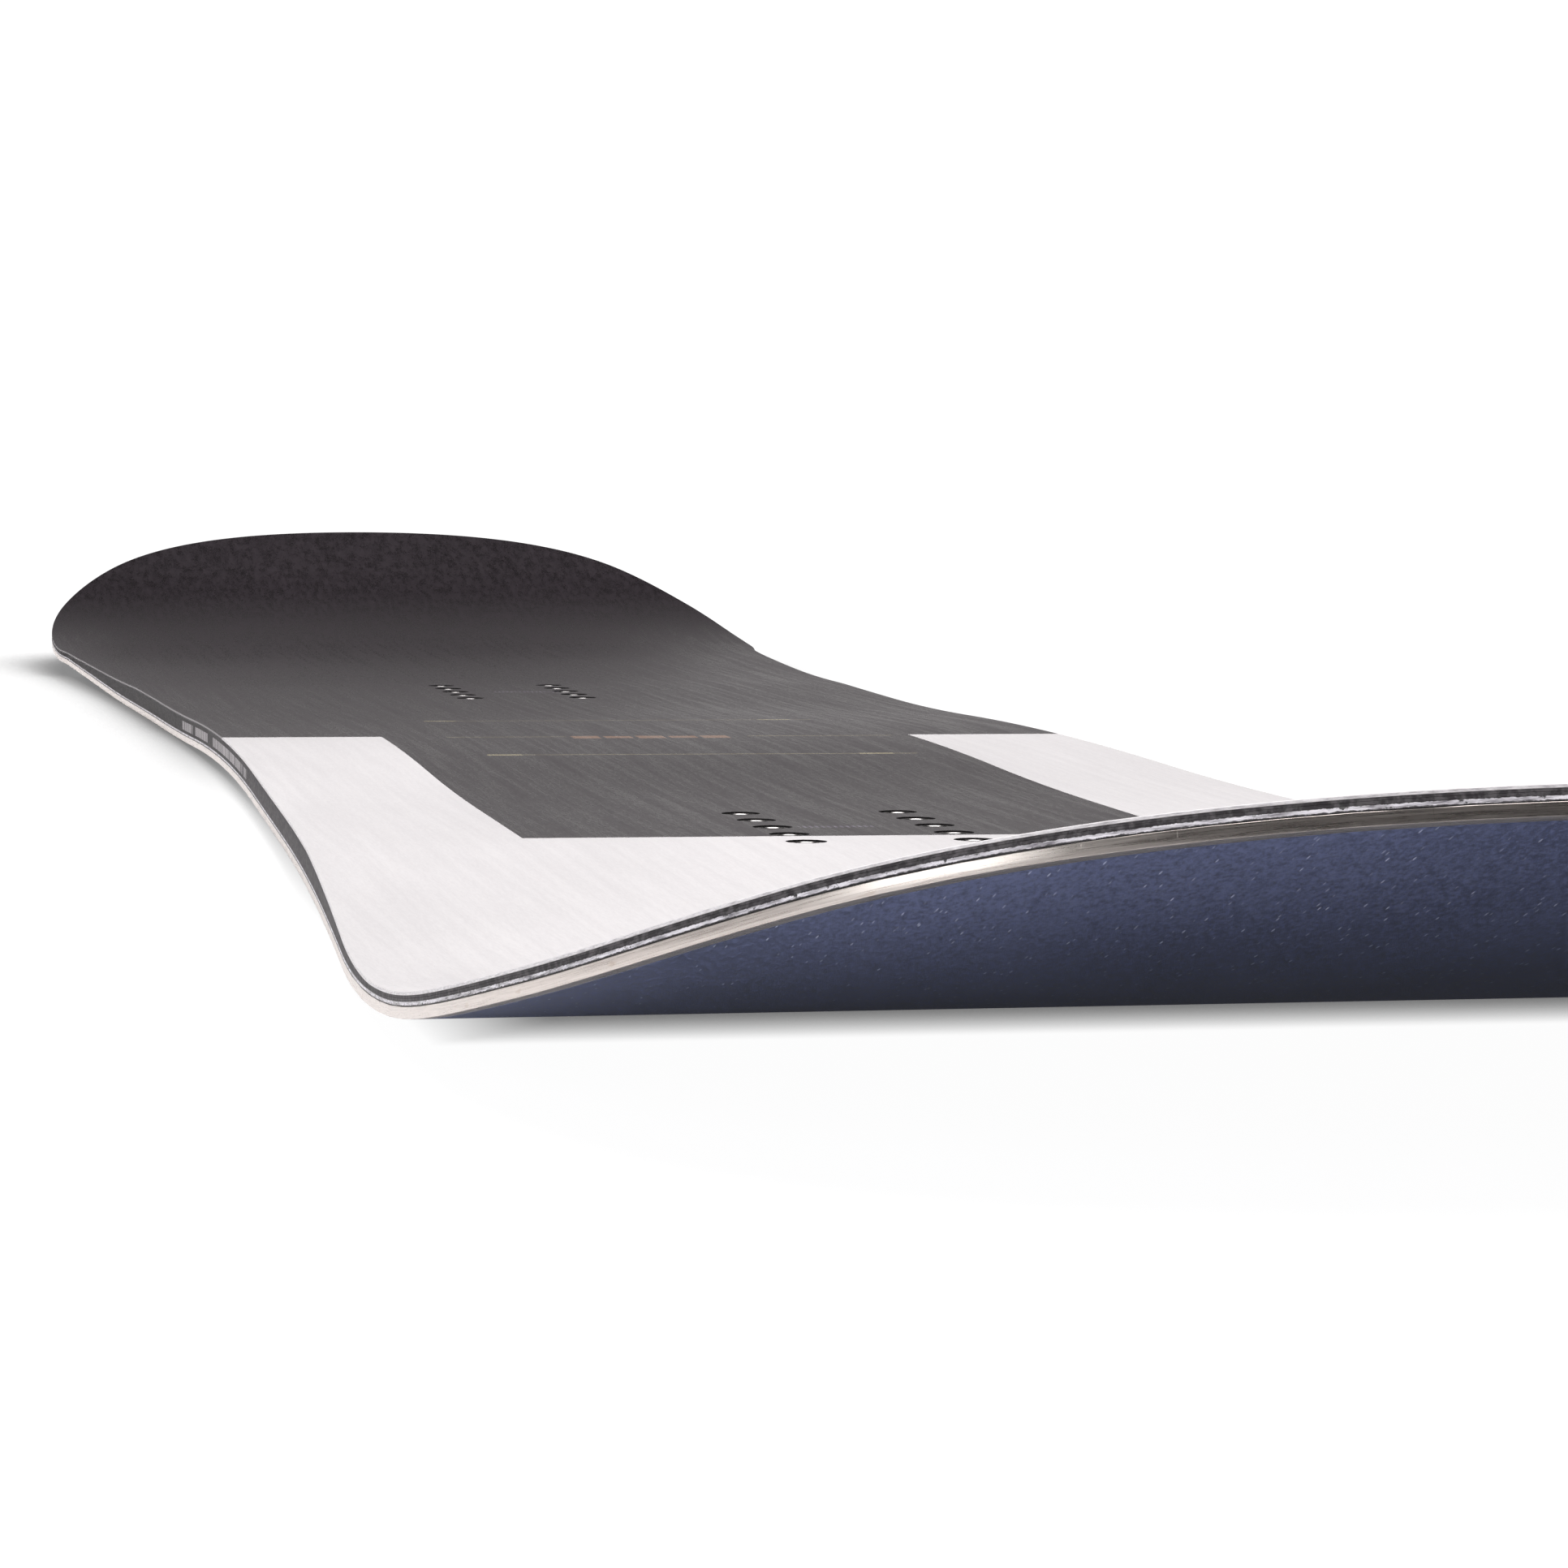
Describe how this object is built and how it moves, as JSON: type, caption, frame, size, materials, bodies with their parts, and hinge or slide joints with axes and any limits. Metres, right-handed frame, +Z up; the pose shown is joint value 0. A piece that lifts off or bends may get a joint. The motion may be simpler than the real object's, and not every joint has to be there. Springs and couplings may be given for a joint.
{
  "type": "snowboard",
  "caption": "Bare directional snowboard: bent wood-core sandwich with printed topsheet, steel edges, dark base and threaded binding inserts.",
  "frame": {"origin": "centre of the board's bounding box in plan, on the surface that the base rests on", "axes": "+X across the board to the rider's right hand looking from nose to tail, +Y along it from nose to tail, +Z up out of the topsheet"},
  "size_m": [0.3026, 1.6042, 0.0591],
  "materials": {
    "topsheet": "satin printed plastic sheet, white towards the nose and charcoal towards the tail",
    "dark_laminate": "dark resin and glass fibre",
    "glass_laminate": "ragged silver-white glass fibre and resin",
    "core_wood": "bare glued strips of poplar and beech",
    "sidewall": "sanded black plastic",
    "foil": "thin damping rubber",
    "edge_steel": "ground along its length",
    "base": "structured dark blue sintered plastic with short pale scratches",
    "insert_steel": "turned stainless steel"
  },
  "bodies": {
    "root": {"base": "base", "steel_edge_left": "edge_steel", "steel_edge_right": "edge_steel", "rubber_foil_left": "foil", "rubber_foil_right": "foil", "bottom_laminate": "glass_laminate", "sidewall_left": "sidewall", "sidewall_right": "sidewall", "tip_spacer_nose": "sidewall", "tip_spacer_tail": "sidewall", "core_strip_centre": "core_wood", "core_strip_left_1": "core_wood", "core_strip_left_2": "core_wood", "core_strip_left_3": "core_wood", "core_strip_left_4": "core_wood", "core_strip_right_1": "core_wood", "core_strip_right_2": "core_wood", "core_strip_right_3": "core_wood", "core_strip_right_4": "core_wood", "top_laminate": "dark_laminate", "topsheet": "topsheet", "insert_nose_left_1": "insert_steel", "insert_nose_left_2": "insert_steel", "insert_nose_left_3": "insert_steel", "insert_nose_left_4": "insert_steel", "insert_nose_left_5": "insert_steel", "insert_nose_right_1": "insert_steel", "insert_nose_right_2": "insert_steel", "insert_nose_right_3": "insert_steel", "insert_nose_right_4": "insert_steel", "insert_nose_right_5": "insert_steel", "insert_tail_left_1": "insert_steel", "insert_tail_left_2": "insert_steel", "insert_tail_left_3": "insert_steel", "insert_tail_left_4": "insert_steel", "insert_tail_left_5": "insert_steel", "insert_tail_right_1": "insert_steel", "insert_tail_right_2": "insert_steel", "insert_tail_right_3": "insert_steel", "insert_tail_right_4": "insert_steel", "insert_tail_right_5": "insert_steel"}
  },
  "joints": []
}
